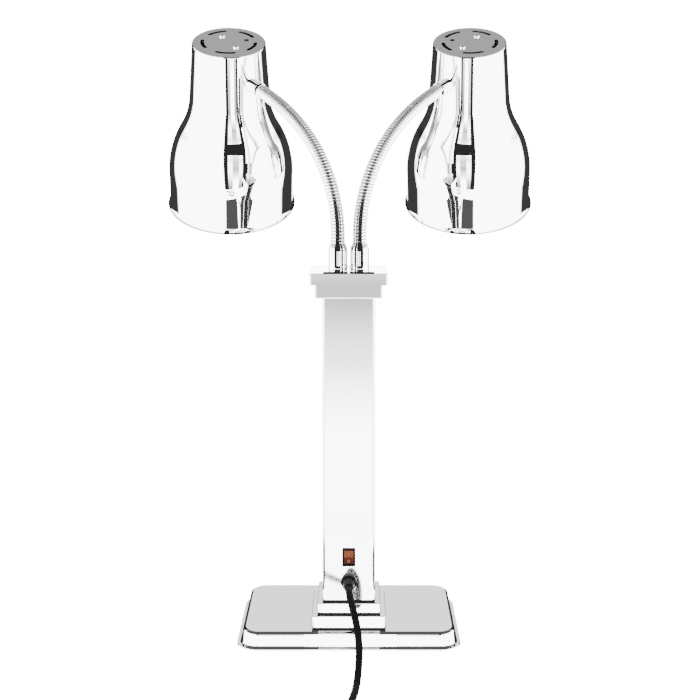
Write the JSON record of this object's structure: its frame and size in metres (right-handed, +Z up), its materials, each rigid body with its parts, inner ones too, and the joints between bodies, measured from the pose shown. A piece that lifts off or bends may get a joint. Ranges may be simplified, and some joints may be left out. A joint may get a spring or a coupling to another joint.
{
  "type": "twin heat lamp warmer",
  "caption": "Free-standing food heat lamp: two bell shades with reflector bulbs on bendable metal necks above a square column and weighted base, with a rocker switch and mains cord.",
  "frame": {"origin": "on the column's axis, at the plane the feet rest on", "axes": "+Z up, -Y towards the side with the switch and cord, +X to the right when facing the switch"},
  "size_m": [0.4758, 0.6613, 0.712],
  "materials": {
    "polished_base": "mirror-polished stainless pressing",
    "column_steel": "near-mirror polished stainless tube, faintly satin",
    "polished_cap": "mirror-polished stainless pressing",
    "socket_chrome": "bright chrome",
    "neck_chrome": "bright chrome interlocked strip",
    "ferrule_chrome": "bright chrome",
    "shade_chrome": "spun and mirror-polished",
    "weight_iron": "rough cast, painted dark",
    "zinc_steel": "zinc-plated sheet",
    "fastener_steel": "bright zinc",
    "foot_rubber": "matt black",
    "switch_black": "fine satin black",
    "rocker_amber": "translucent amber",
    "contact_brass": "tinned or bare brass",
    "gland_black": "black nylon",
    "terminal_nylon": "natural nylon",
    "lead_sleeve": "glass-fibre sleeved leads",
    "cord_black": "black flexible sheath",
    "tie_black": "woven hook-and-loop strap",
    "plug_black": "moulded black",
    "porcelain": "glazed porcelain",
    "cap_brass": "nickelled brass screw cap",
    "lamp_glass": "silvered reflector with a frosted face"
  },
  "bodies": {
    "root": {"base_cover": "polished_base", "base_weight": "weight_iron", "bottom_plate": "zinc_steel", "bottom_screws": "fastener_steel", "rubber_feet": "foot_rubber", "lower_plinth": "polished_base", "upper_plinth": "polished_base", "column": "column_steel", "column_foot": "zinc_steel", "column_bolts": "fastener_steel", "cap_collar": "polished_cap", "cap_plate": "polished_cap", "cap_bracket": "zinc_steel", "socket_nuts": "fastener_steel", "neck_socket_left": "socket_chrome", "neck_socket_right": "socket_chrome", "neck_link_1_left": "neck_chrome", "neck_link_1_right": "neck_chrome", "switch_housing": "switch_black", "switch_tabs": "contact_brass", "cable_gland": "gland_black", "gland_nut": "gland_black", "terminal_block": "terminal_nylon", "earth_stud": "fastener_steel", "lamp_leads": "lead_sleeve", "supply_lead": "lead_sleeve", "mains_cord": "cord_black", "cord_coil": "cord_black", "cord_tie": "tie_black", "cord_tail": "cord_black", "plug": "plug_black", "plug_pins": "contact_brass"},
    "rocker": {"rocker": "rocker_amber"},
    "left_link_2": {"neck_link_2_left": "neck_chrome"},
    "left_link_3": {"neck_link_3_left": "neck_chrome"},
    "left_link_4": {"neck_link_4_left": "neck_chrome"},
    "left_link_5": {"neck_link_5_left": "neck_chrome"},
    "left_head": {"neck_link_6_left": "neck_chrome", "ferrule_left": "ferrule_chrome", "ferrule_nut_left": "fastener_steel", "shade_left": "shade_chrome", "holder_bracket_left": "zinc_steel", "shade_screws_left": "fastener_steel", "lamp_holder_left": "porcelain", "bulb_cap_left": "cap_brass", "bulb_glass_left": "lamp_glass"},
    "right_link_2": {"neck_link_2_right": "neck_chrome"},
    "right_link_3": {"neck_link_3_right": "neck_chrome"},
    "right_link_4": {"neck_link_4_right": "neck_chrome"},
    "right_link_5": {"neck_link_5_right": "neck_chrome"},
    "right_head": {"neck_link_6_right": "neck_chrome", "ferrule_right": "ferrule_chrome", "ferrule_nut_right": "fastener_steel", "shade_right": "shade_chrome", "holder_bracket_right": "zinc_steel", "shade_screws_right": "fastener_steel", "lamp_holder_right": "porcelain", "bulb_cap_right": "cap_brass", "bulb_glass_right": "lamp_glass"}
  },
  "joints": [
    {"name": "left_lift", "type": "hinge", "parent": "root", "child": "left_link_2", "pos_m": [-0.01602, 0.00398, 0.50388], "axis": [0.7314, 0.682, 0], "range_deg": [-12, 12]},
    {"name": "left_swing", "type": "hinge", "parent": "left_link_2", "child": "left_link_3", "pos_m": [-0.02645, 0.01517, 0.53899], "axis": [0.5864, -0.6288, 0.5106], "range_deg": [-6, 15]},
    {"name": "left_lift_middle", "type": "hinge", "parent": "left_link_3", "child": "left_link_4", "pos_m": [-0.04212, 0.03198, 0.56966], "axis": [0.7314, 0.682, 0], "range_deg": [-12, 12]},
    {"name": "left_swing_upper", "type": "hinge", "parent": "left_link_4", "child": "left_link_5", "pos_m": [-0.06159, 0.05286, 0.59527], "axis": [0.4082, -0.4377, 0.8011], "range_deg": [-6, 15]},
    {"name": "left_lift_top", "type": "hinge", "parent": "left_link_5", "child": "left_head", "pos_m": [-0.08362, 0.07648, 0.61598], "axis": [0.7314, 0.682, 0], "range_deg": [-12, 12]},
    {"name": "right_lift", "type": "hinge", "parent": "root", "child": "right_link_2", "pos_m": [0.01602, 0.00398, 0.50388], "axis": [0.7314, -0.682, 0], "range_deg": [-12, 12]},
    {"name": "right_swing", "type": "hinge", "parent": "right_link_2", "child": "right_link_3", "pos_m": [0.02645, 0.01517, 0.53899], "axis": [0.5864, 0.6288, -0.5106], "range_deg": [-6, 15]},
    {"name": "right_lift_middle", "type": "hinge", "parent": "right_link_3", "child": "right_link_4", "pos_m": [0.04212, 0.03198, 0.56966], "axis": [0.7314, -0.682, 0], "range_deg": [-12, 12]},
    {"name": "right_swing_upper", "type": "hinge", "parent": "right_link_4", "child": "right_link_5", "pos_m": [0.06159, 0.05286, 0.59527], "axis": [0.4082, 0.4377, -0.8011], "range_deg": [-6, 15]},
    {"name": "right_lift_top", "type": "hinge", "parent": "right_link_5", "child": "right_head", "pos_m": [0.08362, 0.07648, 0.61598], "axis": [0.7314, -0.682, 0], "range_deg": [-12, 12]},
    {"name": "rocker_press", "type": "hinge", "parent": "root", "child": "rocker", "pos_m": [0, -0.0284, 0.1015], "axis": [1, 0, 0], "range_deg": [0, 20]}
  ],
  "couplings": [
    {"joint": "left_lift_middle", "follows": "left_lift", "ratio": 1},
    {"joint": "left_lift_top", "follows": "left_lift", "ratio": 1},
    {"joint": "left_swing_upper", "follows": "left_swing", "ratio": 1},
    {"joint": "right_lift_middle", "follows": "right_lift", "ratio": 1},
    {"joint": "right_lift_top", "follows": "right_lift", "ratio": 1},
    {"joint": "right_swing_upper", "follows": "right_swing", "ratio": 1}
  ]
}
